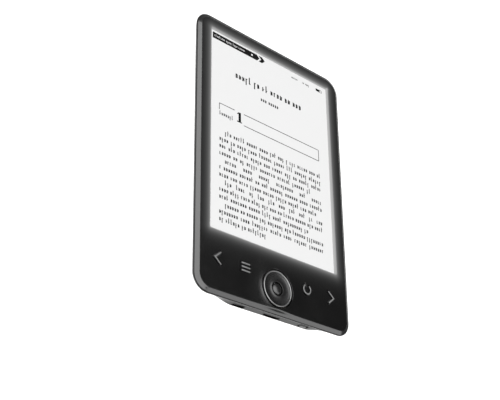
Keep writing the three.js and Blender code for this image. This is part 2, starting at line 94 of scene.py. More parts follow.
NAV_Y = middle_mm("nav_rim")[1]
NAV_RADIUS = box_mm("nav_rim")[1][0] - 0.3  # drawn a little inside the rim, for a wider dark gap
NAV_TOP = box_mm("nav_rim")[1][2]
NAV_HOLE = NAV_RADIUS + 0.8  # radius of the hole in the bezel for the pad
OK_RADIUS = box_mm("ok_button")[1][0]
OK_TOP = box_mm("ok_button")[1][2]
MOUND_RISE = 0.5  # how far the face stands up at the edge of the pad's hole
MOUND_DECAY = 3.6  # distance over which the mound falls to a third
BORDER = 3.0  # width of the sloping border of the bezel

KEY_Y = middle_mm("menu_key")[1]
KEY_TOP = box_mm("menu_key")[1][2]
KEY_GAP = 0.6  # between a key's symbol and the edge of its hole
STROKE = 0.95  # width of the lines of the key symbols

GRIP_LOW, GRIP_HIGH = box_mm("grip_panel")
GRIP_RADIUS = 11.6
GRIP_GAP = 0.25
GRIP_SKIN = 0.7
GRIP_RECESS = 0.9
DOT_RISE = 0.18  # the skin lies this far under the case's surface, and its dots come up to it
DOT_RADIUS = 0.55
DOT_PITCH = (5.1, 3.4)  # between dots in a row, and between the staggered rows

PORT_FACE = 0.5  # how far the flat of the bottom end lies inside the case's length
PORT_FLAT = 26.0
PORT_END = 45.0
WALL = 1.5
CAVITY_FLOOR = 1.8
FLOOR_DROP = 450.0  # from the back of the device down to the studio floor


# ---- meshes -------------------------------------------------------------------------------------
def smoothstep(low, high, value):
    share = np.clip((value - low) / (high - low), 0, 1)
    return share * share * (3 - 2 * share)


def make_mesh(name, points, quads=(), polygons=()):
    """A mesh object from points in millimetres, an array of quads and a few larger polygons."""
    mesh = bpy.data.meshes.new(name)
    faces = [list(map(int, face)) for face in quads] + [list(map(int, face)) for face in polygons]
    mesh.from_pydata((np.asarray(points, float).reshape(-1, 3) * MM).tolist(), [], faces)
    mesh.validate()
    piece = bpy.data.objects.new(name, mesh)
    bpy.context.scene.collection.objects.link(piece)
    return piece


def ring_quads(levels, count, closed=False, first=0):
    """Quads between neighbouring rings of equally many points, and from the last ring to the first."""
    level, step = np.meshgrid(np.arange(levels if closed else levels - 1), np.arange(count), indexing="ij")
    above = (level + 1) % levels
    after = (step + 1) % count
    corners = [level * count + step, level * count + after, above * count + after, above * count + step]
    return np.stack(corners, -1).reshape(-1, 4) + first


def stacked(name, rings, closed=False):
    """A solid through a stack of rings (levels, count, 3), its ends closed by a flat polygon each,
    or closed from the last ring back to the first."""
    rings = np.asarray(rings, float)
    levels, count = rings.shape[:2]
    caps = () if closed else (np.arange(count)[::-1], (levels - 1) * count + np.arange(count))
    return make_mesh(name, rings, ring_quads(levels, count, closed), caps)


def turned(name, profile, y, segments=128):
    """A closed profile of (radius, height) turned about an upright axis at (0, y). The profile runs
    round its section with the solid on its left. Radii of zero are sealed into one point."""
    profile = np.asarray(profile, float)
    angle = np.linspace(0, 2 * np.pi, segments, endpoint=False)
    rings = np.empty((len(profile), segments, 3))
    rings[..., 0] = profile[:, :1] * np.cos(angle)
    rings[..., 1] = profile[:, :1] * np.sin(angle) + y
    rings[..., 2] = profile[:, 1:]
    piece = stacked(name, rings, closed=True)
    seal(piece)
    return piece


def seal(piece):
    """Joins points that lie on each other and drops the faces that this leaves without an area."""
    work = bmesh.new()
    work.from_mesh(piece.data)
    bmesh.ops.remove_doubles(work, verts=work.verts, dist=1e-7)
    bmesh.ops.dissolve_degenerate(work, edges=work.edges, dist=1e-8)
    work.to_mesh(piece.data)
    work.free()


def rounded(points, times=2, closed=True):
    """Corner cutting: each side keeps its middle half, and each corner becomes a short slant."""
    points = np.asarray(points, float)
    for _ in range(times):
        after = np.roll(points, -1, axis=0)
        cut = np.stack([0.75 * points + 0.25 * after, 0.25 * points + 0.75 * after], 1)
        cut = cut.reshape(-1, points.shape[1])
        points = cut if closed else np.concatenate([points[:1], cut[1:-3], points[-1:]])
    return points


def bezier(control, t):
    """Points of a cubic curve through four control points."""
    t = np.asarray(t, float)[..., None]
    p0, p1, p2, p3 = np.asarray(control, float)
    return p0 * (1 - t) ** 3 + 3 * p1 * t * (1 - t) ** 2 + 3 * p2 * t**2 * (1 - t) + p3 * t**3


def keep_shape(piece):
    """Writes the result of a piece's modifiers into its mesh."""
    graph = bpy.context.evaluated_depsgraph_get()
    mesh = bpy.data.meshes.new_from_object(piece.evaluated_get(graph))
    piece.modifiers.clear()
    piece.data = mesh


def carve(piece, tools, operation="DIFFERENCE"):
    """Cuts each tool out of a piece, or joins it on, and removes the tool."""
    for tool in tools:
        modifier = piece.modifiers.new("carve", "BOOLEAN")
        modifier.operation = operation
        modifier.solver = "EXACT"
        modifier.object = tool
        keep_shape(piece)
        bpy.data.objects.remove(tool)


def soften(piece, angle=32):
    """Smooth shading, with an edge kept sharp where its faces turn by more than the angle."""
    piece.data.polygons.foreach_set("use_smooth", np.ones(len(piece.data.polygons), bool))
    piece.data.set_sharp_from_angle(angle=math.radians(angle))
    piece.data.update()


def fit(piece, body, nodes, material, angle=32):
    """Finishes a piece: its shading, its material, the body it rides on and the nodes it stands for."""
    soften(piece, angle)
    piece.data.materials.clear()
    piece.data.materials.append(material)
    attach(piece, body)
    if nodes:
        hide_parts(*nodes)
    return piece


# ---- outlines -----------------------------------------------------------------------------------
def outline_course(end_steps, side_steps, arc_steps):
    """The course of a rectangle with round corners, anticlockwise from the bottom left. Each row is
    (share of the half width, share of the half length, cosine, sine): a point is the share times the
    reach to the corner centres, plus the radius times the direction."""
    ends = np.linspace(-1, 1, end_steps + 2)[1:-1]
    sides = np.linspace(-1, 1, side_steps + 2)[1:-1]

    def corner(share_x, share_y, start):
        angle = np.radians(start + np.linspace(0, 90, arc_steps + 1))
        shares = np.full(arc_steps + 1, share_x), np.full(arc_steps + 1, share_y)
        return np.stack([*shares, np.cos(angle), np.sin(angle)], 1)

    def straight(share_x, share_y, cosine, sine):
        return np.stack(np.broadcast_arrays(share_x, share_y, cosine, sine), 1)

    return np.concatenate([
        straight(ends, -1.0, 0.0, -1.0), corner(1, -1, -90),
        straight(1.0, sides, 1.0, 0.0), corner(1, 1, 0),
        straight(-ends, 1.0, 0.0, 1.0), corner(-1, 1, 90),
        straight(-1.0, -sides, -1.0, 0.0), corner(-1, -1, 180),
    ])


def follow(course, half_x, half_y, radius, middle_y=0.0):
    """Points of a course for half sizes and a radius, which may differ from point to point."""
    x = course[:, 0] * (half_x - radius) + radius * course[:, 2]
    y = course[:, 1] * (half_y - radius) + radius * course[:, 3] + middle_y
    return np.stack(np.broadcast_arrays(x, y), -1)


def ring(points, height):
    """A flat or uneven ring: points in X and Y with their height."""
    return np.concatenate([points, np.broadcast_to(height, points.shape[:1])[:, None]], 1)


# ---- the front bezel ----------------------------------------------------------------------------
def mound_share(x, y):
    """1 at the edge of the navigation pad's hole, falling off outwards as an exponential."""
    reach = np.hypot(x, y - NAV_Y)
    return np.exp(-np.maximum(reach - NAV_HOLE - 0.3, 0) / MOUND_DECAY)


def face_height(x, y):
    """Height of the bezel's face: flat, plus the mound, less a dish that deepens towards the page as
    an exponential of the distance to it, all cut off smoothly by a slope that starts at the film."""
    away_x = np.maximum(np.abs(x) - PAGE_HALF_X, 0)
    away_y = np.maximum(np.abs(y - PAGE_Y) - PAGE_HALF_Y, 0)
    away = np.hypot(away_x, away_y)
    dished = FACE + MOUND_RISE * mound_share(x, y) - 0.5 * np.exp(-away / 2.4)
    slope = FILM_TOP + 0.1 + 0.62 * away
    blend = 0.22
    return -blend * np.logaddexp(-dished / blend, -slope / blend)


def border_profile():
    """(inset, height) from the foot of the outer wall, round the edge and up the sloping border."""
    wall = [(0.9, LIP), (0.34, LIP), (0.2, LIP + 0.04), (0.1, LIP + 0.16), (0.02, 6.75), (0.0, 7.0)]
    edge = bezier([(0, 7.0), (0, 7.38), (0.3, 7.6), (0.78, 7.755)], np.linspace(0.2, 1, 6))
    crease = bezier([(1.6, 8.06), (2.25, 8.34), (2.5, 8.49), (3.1, FACE)], np.linspace(0, 1, 9))
    return np.concatenate([wall, edge, [(1.2, 7.9)], crease])


def bezel_rings():
    course = outline_course(176, 92, 14)
    rings = []
    for inset, height in border_profile():
        points = follow(course, HALF_X - inset, HALF_Y - inset, CORNER - inset)
        lift = MOUND_RISE * mound_share(*points.T) * smoothstep(0.6, BORDER, inset)
        rings.append(ring(points, height + lift))
    crease = rings[-1][:, :2]
    window = follow(course, PAGE_HALF_X, PAGE_HALF_Y, 0.45, PAGE_Y)
    growth = 1.25
    steps = 78
    for share in np.expm1(growth * np.linspace(1, 0, steps)[1:]) / math.expm1(growth):
        points = window + share * (crease - window)
        rings.append(ring(points, face_height(*points.T)))
    hollow = [HALF_X - 1.7, HALF_Y - 1.7, 7.6]
    rings.append(ring(window, FILM_TOP + 0.02))
    rings.append(ring(follow(course, *hollow), FILM_TOP + 0.02))
    rings.append(ring(follow(course, *hollow), LIP))
    return rings


def chevron(tip_x, side, grow):
    """A chevron's outline: two arms of one stroke's width from a pointed elbow, grown all round."""
    reach, rise = 3.7, 3.2
    length = math.hypot(reach, rise)
    half = STROKE / 2 + grow
    along_x, along_y = reach / length * half, rise / length * half
    elbow = half * length / rise
    upper = [(reach - along_y + along_x, rise + along_x + along_y),
             (reach + along_y + along_x, rise - along_x + along_y)]
    lower = [(x, -y) for x, y in reversed(upper)]
    points = np.array([(-elbow, 0), *upper, (elbow, 0), *lower])
    points[:, 0] = tip_x + side * points[:, 0]
    points[:, 1] += KEY_Y
    return [points if side < 0 else points[::-1]]


def bars(x, grow):
    """Three short bars, one above another."""
    course = outline_course(1, 1, 3)
    half, thick = 3.05 + grow, STROKE / 2 + min(grow, 0.25)
    return [follow(course, half, thick, 0.18, KEY_Y + rise) + (x, 0) for rise in (-2.1, 0, 2.1)]


def open_ring(x, grow):
    """A ring that is open at its top, as a band between two arcs."""
    radius = 2.65
    half = STROKE / 2 + grow
    gap = 0.62 - grow / radius
    angle = np.linspace(math.pi / 2 + gap, 2.5 * math.pi - gap, 40)
    arc = np.stack([np.cos(angle), np.sin(angle)], 1)
    band = np.concatenate([arc * (radius + half), arc[::-1] * (radius - half)])
    return [band + (x, KEY_Y)]


MENU_X = middle_mm("menu_key")[0]
RETURN_X = middle_mm("return_key")[0]
TIP_X = abs(middle_mm("page_back_key")[0]) + 1.5
KEYS = {
    "page_back_key": lambda grow: chevron(-TIP_X, 1, grow),
    "menu_key": lambda grow: bars(MENU_X, grow),
    "return_key": lambda grow: open_ring(RETURN_X, grow),
    "page_forward_key": lambda grow: chevron(TIP_X, -1, grow),
}


def symbol_prisms(name, symbol, levels):
    """Prisms of a key symbol, drawn in or out at each level of (growth, height)."""
    grown = [symbol(grow) for grow, _ in levels]
    heights = [height for _, height in levels]
    return [
        stacked(f"{name}_{i}", [ring(grown[k][i], heights[k]) for k in range(len(levels))])
        for i in range(len(grown[0]))
    ]


def front_bezel(material):
    """The bezel: a ring of one closed section, with holes for the keys and the navigation pad whose
    edges are eased by a short flare."""
    bezel = stacked("bezel_cover", bezel_rings(), closed=True)
    flare = [
        (KEY_GAP, 6), (KEY_GAP, FACE - 0.14), (KEY_GAP + 0.05, FACE - 0.05), (KEY_GAP + 0.2, FACE + 0.06)
    ]
    cutters = [tool for name, symbol in KEYS.items() for tool in symbol_prisms(name, symbol, flare)]
    top = FACE + MOUND_RISE
    bore = [(0, 6), (NAV_HOLE, 6), (NAV_HOLE, top - 0.2), (NAV_HOLE + 0.07, top - 0.06),
            (NAV_HOLE + 0.3, top + 0.08), (NAV_HOLE + 0.3, 10), (0, 10)]
    cutters.append(turned("nav_bore", bore, NAV_Y, 160))
    carve(bezel, cutters)
    return fit(bezel, "housing", ["front_bezel"], material, 28)


# ---- keys, pad and power button -----------------------------------------------------------------
def page_keys(material):
    """Each key is its symbol's raised cap, with eased top edges, on a flange under the bezel."""
    for name, symbol in KEYS.items():
        low, high = box_mm(name)
        flange_top = low[2] + 0.5
        levels = [(0, flange_top - 0.2), (0, KEY_TOP - 0.16), (-0.1, KEY_TOP - 0.06), (-0.22, KEY_TOP)]
        caps = symbol_prisms(name + "_cap", symbol, levels)
        course = outline_course(4, 4, 5)
        half = (high - low) / 2
        middle = (high + low) / 2
        key = stacked(name.replace("_key", "_cap"), [
            ring(follow(course, half[0] - draw, half[1] - draw, 1.5 - draw, middle[1]) + (middle[0], 0), z)
            for draw, z in [(0.1, low[2]), (0, low[2] + 0.1), (0, flange_top - 0.1), (0.1, flange_top)]
        ])
        carve(key, caps, "UNION")
        fit(key, name, [name], material)


def navigation_pad(pad_material, rim_material, dome_material):
    """The dished ring, its bright rim, and the domed button in the middle, each a turned section."""
    low = box_mm("nav_ring")[0][2]
    seat = NAV_RADIUS - 1
    dish_points = [(4.05, 8.72), (4.3, 8.74), (4.75, 8.6), (5.2, 8.53), (6.2, 8.49), (7.4, 8.53), (8.4, 8.63),
                   (9.1, 8.76), (seat - 0.06, 8.84)]
    under = low + 0.7
    section = [(3.8, 8.6), (3.8, under), (NAV_RADIUS, under), (NAV_RADIUS, under + 0.8), (seat, under + 0.8),
               (seat, 8.78), *reversed(dish_points), (3.9, 8.7)]
    pad = turned("nav_dish", section, NAV_Y, 160)
    course = np.linspace(0, 2 * np.pi, 20, endpoint=False)
    pins = []
    for x, y in [(0, 6), (0, -6), (6, 0), (-6, 0)]:
        round_pin = np.stack([0.8 * np.cos(course) + x, 0.8 * np.sin(course) + y + NAV_Y], 1)
        pins.append(stacked("nav_pin", [ring(round_pin, z) for z in (low, under + 0.2)]))
    carve(pad, pins, "UNION")
    fit(pad, "nav_pad", ["nav_ring"], pad_material, 30)

    inner = NAV_RADIUS - 0.95
    band = rounded([
        (inner, 8.25), (NAV_RADIUS, 8.25), (NAV_RADIUS, 8.88), (NAV_RADIUS - 0.28, NAV_TOP + 0.02),
        (inner + 0.28, NAV_TOP + 0.02), (inner, 8.92),
    ], 3)
    band[:, 1] = np.minimum(band[:, 1], NAV_TOP)
    fit(turned("nav_bright_ring", band, NAV_Y, 160), "nav_pad", ["nav_rim"], rim_material, 60)

    foot = box_mm("ok_button")[0][2]
    arc = np.linspace(0, 1, 16)
    brow = 8.0
    dome_x, dome_z = OK_RADIUS * np.cos(arc * math.pi / 2), brow + (OK_TOP - brow) * np.sin(arc * math.pi / 2)
    dome = np.stack([dome_x, dome_z], 1)
    section = [(0, foot), (1.2, foot), (1.2, 7.4), (OK_RADIUS, 7.4), *dome]
    cap = turned("ok_dome_cap", section, NAV_Y, 96)
    fit(cap, "ok_button", ["ok_button"], dome_material, 40)


def upright_ring(course, half_x, half_z, radius, x, z, y):
    """A rounded rectangle that stands in X and Z, facing -Y."""
    flat = follow(course, half_x, half_z, radius)
    return np.stack([flat[:, 0] + x, np.full(len(flat), y), flat[:, 1] + z], 1)


def power_cap(material):
    """A long round-ended button with a domed, eased face, on a flange inside the wall."""
    low, high = box_mm("power_button")
    middle = (low + high) / 2
    half_x, half_z = 2.3, 0.95
    course = outline_course(6, 1, 10)
    front = low[1]
    levels = [(high[1], 0.0), (front + 0.45, 0.0), (front + 0.2, 0.06), (front + 0.06, 0.2), (front, 0.42)]
    rings = [upright_ring(course, half_x - draw, half_z - draw, half_z - draw - 0.02, middle[0], middle[2], y)
             for y, draw in levels]
    cap = stacked("power_cap", rings)
    course = outline_course(2, 1, 3)
    flange = stacked("power_flange", [
        upright_ring(course, high[0] - middle[0], 0.8, 0.2, middle[0], middle[2], y)
        for y in (high[1], high[1] - 0.45)
    ])
    carve(cap, [flange], "UNION")
    fit(cap, "power_button", ["power_button"], material)


# ---- the rear shell and the grip panel ----------------------------------------------------------
BACK_CURVE = [(0.3, PARTING), (1.8, 3.4), (4.8, 0.0), (9.5, 0.0)]
FULL_INSET = BACK_CURVE[-1][0]


def port_profile(t):
    """(inset, height) of the flat bottom end: straight down the face, then a corner and a long curve
    into the flat back."""
    face = np.stack([np.full_like(t, PORT_FACE), PARTING - (PARTING - 1.4) * t / 0.5], -1)
    heel = bezier([(PORT_FACE, 1.4), (1.1, 0.78), (3.2, 0.0), (FULL_INSET, 0.0)], (t - 0.5) / 0.5)
    return np.where((t <= 0.5)[..., None], face, heel)


def case_point(course, t, depth=0.0):
    """Points of the rear shell's side at parameter t of its section, for each point of a course: the
    plain curve, blended towards the port profile along the bottom end, and moved inwards by depth."""
    plain = bezier(BACK_CURVE, t)
    ahead = bezier(BACK_CURVE, t + 1e-3) - plain
    normal = np.stack([-ahead[..., 1], ahead[..., 0]], -1)
    plain = plain + depth * normal / np.linalg.norm(normal, axis=-1, keepdims=True)
    port = port_profile(t)
    port = np.stack([port[..., 0] + depth, np.maximum(port[..., 1], depth)], -1)
    along = course[:, 0] * (HALF_X - plain[..., 0] - CORNER)
    at_bottom = (course[:, 3] < -0.999) & (course[:, 1] < 0)
    weight = np.where(at_bottom, 1 - smoothstep(PORT_FLAT, PORT_END, np.abs(along)), 0.0)
    inset, height = (plain + weight[..., None] * (port - plain)).T
    x = course[:, 0] * (HALF_X - plain[..., 0] - CORNER) + CORNER * course[:, 2]
    y = course[:, 1] * (HALF_Y - inset - CORNER) + CORNER * course[:, 3]
    return np.stack([x, y, height], 1)


CURVE_TABLE = bezier(BACK_CURVE, np.linspace(0, 1, 400))


def back_inset(x, y):
    """How far in from the case's outline a point lies, for outlines that keep one corner radius."""
    a = np.abs(x) - (HALF_X - CORNER)
    b = np.abs(y) - (HALF_Y - CORNER)
    straight = np.minimum(HALF_X - np.abs(x), HALF_Y - np.abs(y))
    root = np.sqrt(np.maximum((a + b) ** 2 - 2 * (a * a + b * b - CORNER**2), 0))
    round_part = (root - a - b) / 2
    in_corner = (a + straight > 0) & (b + straight > 0)
    return np.where(in_corner, round_part, straight)


def back_height(x, y):
    """Height of the plain back surface over a point: 0 on the flat, rising along the curved sides."""
    return np.interp(back_inset(x, y), CURVE_TABLE[:, 0], CURVE_TABLE[:, 1])


def grip_outline(course, grow):
    half_x = (GRIP_HIGH[0] - GRIP_LOW[0]) / 2 + grow
    half_y = (GRIP_HIGH[1] - GRIP_LOW[1]) / 2 + grow
    return follow(course, half_x, half_y, GRIP_RADIUS, (GRIP_HIGH[1] + GRIP_LOW[1]) / 2)


def shell_rings():
    """Rings of the rear shell, from the floor of the grip's recess, up its wall, over the back and
    round the side to the parting line, then down inside to the floor of the cavity."""
    course = outline_course(150, 60, 16)
    low_share = smoothstep(-0.35, 1.0, -course[:, 3] * (course[:, 1] < 0))
    side_end = np.interp(2.3, CURVE_TABLE[:, 0], np.linspace(0, 1, 400))
    last = side_end + (1 - side_end) * low_share
    groove = grip_outline(course, GRIP_GAP)
    rings = []
    for draw in (7.5, 5.5, 4, 2.8, 1.8, 1, 0.4, 0):
        scale = 1 - draw / np.array([HALF_X, HALF_Y])
        points = (groove - (0, 8)) * scale + (0, 8)
        rings.append(ring(points, back_height(*points.T) + GRIP_RECESS))
    start = case_point(course, last)
    for share in (0, 0.12, 0.4, 0.7):
        points = groove + share * (start[:, :2] - groove)
        edge = 0.07 if share == 0 else 0.0
        along = share * start[:, 2] + (1 - share) * back_height(*groove.T)
        plain = back_height(*points.T)
        at_heel = np.abs(points[:, 1] + HALF_Y - FULL_INSET) < 12
        rings.append(ring(points, np.where(at_heel & (points[:, 1] < GRIP_LOW[1]), along, plain) + edge))
    rim_end = 0.021
    for t in np.linspace(1, rim_end / 0.4, 44):
        rings.append(case_point(course, t * last))
    depth, height = GROOVE
    for z in (PARTING - height, PARTING):
        rings.append(ring(follow(course, HALF_X - 0.3 - depth, HALF_Y - 0.4 - depth, CORNER - depth), z))
    inner = follow(course, HALF_X - 0.3 - WALL, HALF_Y - 0.5 - WALL, CORNER - WALL)
    rings.append(ring(inner, PARTING))
    for t in np.linspace(0.1, 0.55, 5):
        points = case_point(course, np.full(len(course), t), WALL)
        points[:, 2] = np.maximum(points[:, 2], CAVITY_FLOOR)
        rings.append(points)
    return rings


def standing_prism(name, points, front, back):
    """A prism of an outline in X and Z, anticlockwise as seen from the front, carried along Y."""
    points = np.asarray(points, float)
    rings = [np.stack([points[:, 0], np.full(len(points), y), points[:, 1]], 1) for y in (back, front)]
    return stacked(name, rings)


def rear_shell(material):
    shell = stacked("back_case", shell_rings())
    usb_low, usb_high = box_mm("usb_socket")
    card_low, card_high = box_mm("card_socket_cover")
    power = middle_mm("power_button")
    front, inside = -HALF_Y - 1, -HALF_Y + PORT_FACE + WALL + 1
    face_y = -HALF_Y + PORT_FACE
    arc = outline_course(2, 1, 5)

    def slot(name, x0, x1, z0, z1, radius, reach):
        middle = ((x0 + x1) / 2, (z0 + z1) / 2)
        points = follow(arc, (x1 - x0) / 2, (z1 - z0) / 2, radius) + middle
        return standing_prism(name, points, front, reach)

    sweep = np.linspace(-1, 1, 25)
    scoop = np.concatenate([np.stack([5.9 * sweep, 1.65 + 1.2 * sweep**2], 1), [(5.9, 3.4), (-5.9, 3.4)]])
    tools = [
        slot("usb_mouth", usb_low[0] - 0.2, usb_high[0] + 0.2, usb_low[2] - 0.2, usb_high[2] + 0.2,
             0.5, inside),
        slot("card_mouth", card_low[0] + 1.3, card_high[0] - 1.3, card_low[2] + 0.1, card_high[2] + 0.1,
             0.3, inside),
        standing_prism("card_scoop", scoop, front, face_y + 0.8),
        slot("power_hole", power[0] - 2.5, power[0] + 2.5, power[2] - 1.15, power[2] + 1.15, 1.1, inside),
        slot("power_notch", power[0] - 3.4, power[0] + 3.4, power[2] - 1.5, power[2] + 1.9,
             1.2, face_y + 0.5),
    ]
    carve(shell, tools)
    return fit(shell, "housing", ["rear_shell"], material, 30)


def grip_skin(material):
    """The soft skin: rings drawn in from the grip's outline, out of the flat and round its edge."""
    course = outline_course(40, 60, 14)
    middle = (GRIP_HIGH[1] + GRIP_LOW[1]) / 2
    half_x = (GRIP_HIGH[0] - GRIP_LOW[0]) / 2
    half_y = (GRIP_HIGH[1] - GRIP_LOW[1]) / 2

    def level(draw, rise):
        points = follow(course, half_x - draw, half_y - draw, GRIP_RADIUS - draw, middle)
        return ring(points, back_height(*points.T) + rise)

    inward = [6.6, 5.6, 4.7, 3.9, 3.2, 2.5, 1.9, 1.4, 1.0, 0.6, 0.35]
    outside = [level(draw, DOT_RISE) for draw in inward]
    edge = [level(0.15, DOT_RISE + 0.03), level(0.03, DOT_RISE + 0.1), level(0, DOT_RISE + 0.22)]
    inside = [level(draw, GRIP_SKIN) for draw in (0, 0.6, 1.4, 2.5, 3.9, 5.6, 6.6)]
    skin = stacked("grip_skin", [*outside, *edge, *inside])
    return fit(skin, "housing", ["grip_panel"], material)


def grip_dots(material):
    """Rows of small round studs, every other row shifted by half a pitch. A stud is rings of a low
    dome on a flat base, set along the skin's normal, which is (dz/dx, dz/dy, -1)."""
    pitch_x, pitch_y = DOT_PITCH
    rows = np.arange(GRIP_LOW[1] + 2.3, GRIP_HIGH[1] - 1.0, pitch_y)
    places = np.concatenate([
        np.stack([np.arange(-21, 22) * pitch_x + (i % 2) * pitch_x / 2, np.full(43, y)], 1)
        for i, y in enumerate(rows)
    ])
    margin = 1.7
    reach = GRIP_RADIUS - margin
    half_x = (GRIP_HIGH[0] - GRIP_LOW[0]) / 2
    half_y = (GRIP_HIGH[1] - GRIP_LOW[1]) / 2
    beyond_x = np.maximum(np.abs(places[:, 0]) - (half_x - GRIP_RADIUS), 0)
    beyond_y = np.maximum(np.abs(places[:, 1] - (GRIP_HIGH[1] + GRIP_LOW[1]) / 2) - (half_y - GRIP_RADIUS), 0)
    places = places[np.hypot(beyond_x, beyond_y) < reach]

    x, y = places.T
    step = 0.05
    slope_x = (back_height(x + step, y) - back_height(x - step, y)) / (2 * step)
    slope_y = (back_height(x, y + step) - back_height(x, y - step)) / (2 * step)
    normal = np.stack([slope_x, slope_y, -np.ones_like(x)], 1)
    normal /= np.linalg.norm(normal, axis=1, keepdims=True)
    along_x = np.stack([np.ones_like(x), np.zeros_like(x), slope_x], 1)
    along_x /= np.linalg.norm(along_x, axis=1, keepdims=True)
    along_y = np.cross(normal, along_x)

    angle = np.linspace(0, 2 * np.pi, 10, endpoint=False)
    levels = np.array([(1.0, -0.08), (1.0, 0.02), (0.85, 0.6), (0.5, 0.9), (0.18, 0.99)])
    radius = DOT_RADIUS * levels[:, :1] * np.ones(10)
    rise = DOT_RISE * levels[:, 1:] * np.ones(10)
    shape = np.stack([radius * np.cos(angle), radius * np.sin(angle), rise], -1)
    shape = shape.reshape(-1, 3)
    base = np.stack([x, y, back_height(x, y) + DOT_RISE], 1)
    axes = np.stack([along_x, along_y, normal], 1)
    points = base[:, None, :] + np.einsum("kj,dji->dki", shape, axes)
    per = len(shape)
    start = np.arange(len(x))[:, None, None] * per
    quads = (ring_quads(5, 10)[None] + start).reshape(-1, 4)
    caps = np.concatenate([np.arange(10)[::-1][None] + start[:, 0], np.arange(40, 50)[None] + start[:, 0]])
    dots = make_mesh("grip_studs", points, quads, caps)
    return fit(dots, "housing", [], material, 60)


# ---- sockets ------------------------------------------------------------------------------------
def usb_shell(material):
    """A folded steel shell: a wide-topped section, carried back from a slightly flared mouth."""
    low, high = box_mm("usb_socket")
    middle = (low[0] + high[0]) / 2
    half = (high[0] - low[0]) / 2

    def section(draw, y):
        corners = [(-half + 1.1, low[2]), (half - 1.1, low[2]), (half, low[2] + 1.0), (half, high[2]),
                   (-half, high[2]), (-half, low[2] + 1.0)]
        points = rounded(corners, 3)
        centre = np.array([0, (low[2] + high[2]) / 2])
        size = np.array([half, (high[2] - low[2]) / 2])
        points = centre + (points - centre) * (1 - draw / size)
        return np.stack([points[:, 0] + middle, np.full(len(points), y), points[:, 1]], 1)

    mouth = low[1] + 0.5
    levels = [
        (0.2, high[1] - 0.3), (0.2, mouth + 0.5), (0.1, mouth), (0.0, mouth), (0.02, mouth + 0.4),
        (0.02, high[1]),
    ]
    rings = [section(draw, y) for draw, y in levels]
    return fit(stacked("usb_shell", rings), "housing", ["usb_socket"], material)


# ---- the page -----------------------------------------------------------------------------------
def page_sheet(material):
    """The bonded film, light guide and ink layer seen as one matt sheet, with eased edges."""
    low, high = box_mm("screen_film")
    course = outline_course(10, 14, 4)
    half = (high - low) / 2
    rings = [
        ring(follow(course, half[0] - draw, half[1] - draw, 0.6, PAGE_Y), z)
        for draw, z in [(0.03, low[2]), (0, low[2] + 0.03), (0, high[2] - 0.03), (0.03, high[2])]
    ]
    return fit(stacked("page_film", rings), "housing", ["screen_film"], material)


INK_RISE = 0.012


def across(start, end, width):
    """The two ends of a line as arrays, and half its width at a right angle to it."""
    start, end = np.array(start, float), np.array(end, float)
    side = (end - start)[::-1] * (-1, 1)
    return start, end, side * width / 2 / np.linalg.norm(side)


def prisms(name, corners, under, over):
    """A mesh of upright prisms of four corners each, between two heights or two sets of heights."""
    points = np.empty((len(corners), 2, 4, 3))
    points[..., :2] = corners[:, None]
    points[:, 0, :, 2] = under
    points[:, 1, :, 2] = over
    faces = np.concatenate([ring_quads(2, 4), [[3, 2, 1, 0]], [[4, 5, 6, 7]]])
    start = np.arange(len(corners))[:, None, None] * 8
    return make_mesh(name, points, (faces[None] + start).reshape(-1, 4))


class Print:
    """Collects flat marks for the page, measured from its centre, as prisms of four corners each."""

    def __init__(self):
        self.marks = []

    def quad(self, corners):
        self.marks.append(corners)

    def bar(self, x0, y0, x1, y1):
        self.quad([(x0, y0), (x1, y0), (x1, y1), (x0, y1)])

    def line(self, start, end, width):
        start, end, side = across(start, end, width)
        self.quad([start - side, end - side, end + side, start + side])

    def mesh(self, name, height, material, slot):
        corners = np.array(self.marks, float) + (0, PAGE_Y)
        marks = prisms(name, corners, height - INK_RISE / 2, height + INK_RISE)
        return fit(marks, "housing", [], material)


def greek_words(sheet, draw, x0, x1, y, x_height, words, fill=1.0):
    """A row of dummy print: words of upright strokes, some taller or lower, with short feet and
    beads, which say nothing. The words spread over the whole width. A low fill sets them wide apart."""
    pitch = 0.86 * x_height
    stroke = 0.27 * x_height
    lengths = draw.integers(2, 10, words)
    target = ((x1 - x0) / pitch - 0.75 * (words - 1)) * fill
    lengths = np.maximum(1, np.round(lengths * target / lengths.sum())).astype(int)
    gap = (x1 - x0 - pitch * lengths.sum()) / max(words - 1, 1)
    x = x0
    for length in lengths:
        for _ in range(length):
            kind = draw.integers(0, 8)
            top = y + x_height * (1.55 if kind == 0 else 1.0)
            foot = y - (0.5 * x_height if kind == 1 else 0)
            left = x + 0.12 * pitch
            right = x + 0.62 * pitch
            sheet.bar(left, foot, left + stroke, top)
            if kind > 2:
                lean = draw.uniform(-0.1, 0.1) * x_height
                sheet.line((right, y + 0.1 * x_height), (right + lean, y + 0.9 * x_height), stroke * 0.9)
            bead = y + x_height * draw.choice([0.1, 0.45, 0.88])
            sheet.bar(left, bead - 0.11 * x_height, right, bead + 0.11 * x_height)
            x += pitch
        x += gap
    return x


def frame_line(sheet, points, width):
    for start, end in zip(points, points[1:]):
        sheet.line(start, end, width)


def page_tab(sheet):
    """The tab at the top left, with a pointed end and a loose arrow head after it."""
    top, bottom, end, point = 60.5, 56.5, -11.6, 2.2
    middle = (top + bottom) / 2
    sheet.bar(-44.8, bottom, end, top)
    sheet.quad([(end, bottom), (end + 0.1, bottom), (end + point, middle), (end, middle)])
    sheet.quad([(end, middle), (end + point, middle), (end + 0.1, top), (end, top)])
    inner, outer = end + 1.4, end + 4.2
    for side in (-1, 1):
        arm = middle + side * (top - bottom) / 2
        head = [(inner, arm), (outer, arm), (outer + point, middle), (inner + point, middle)]
        sheet.quad(head if side < 0 else head[::-1])


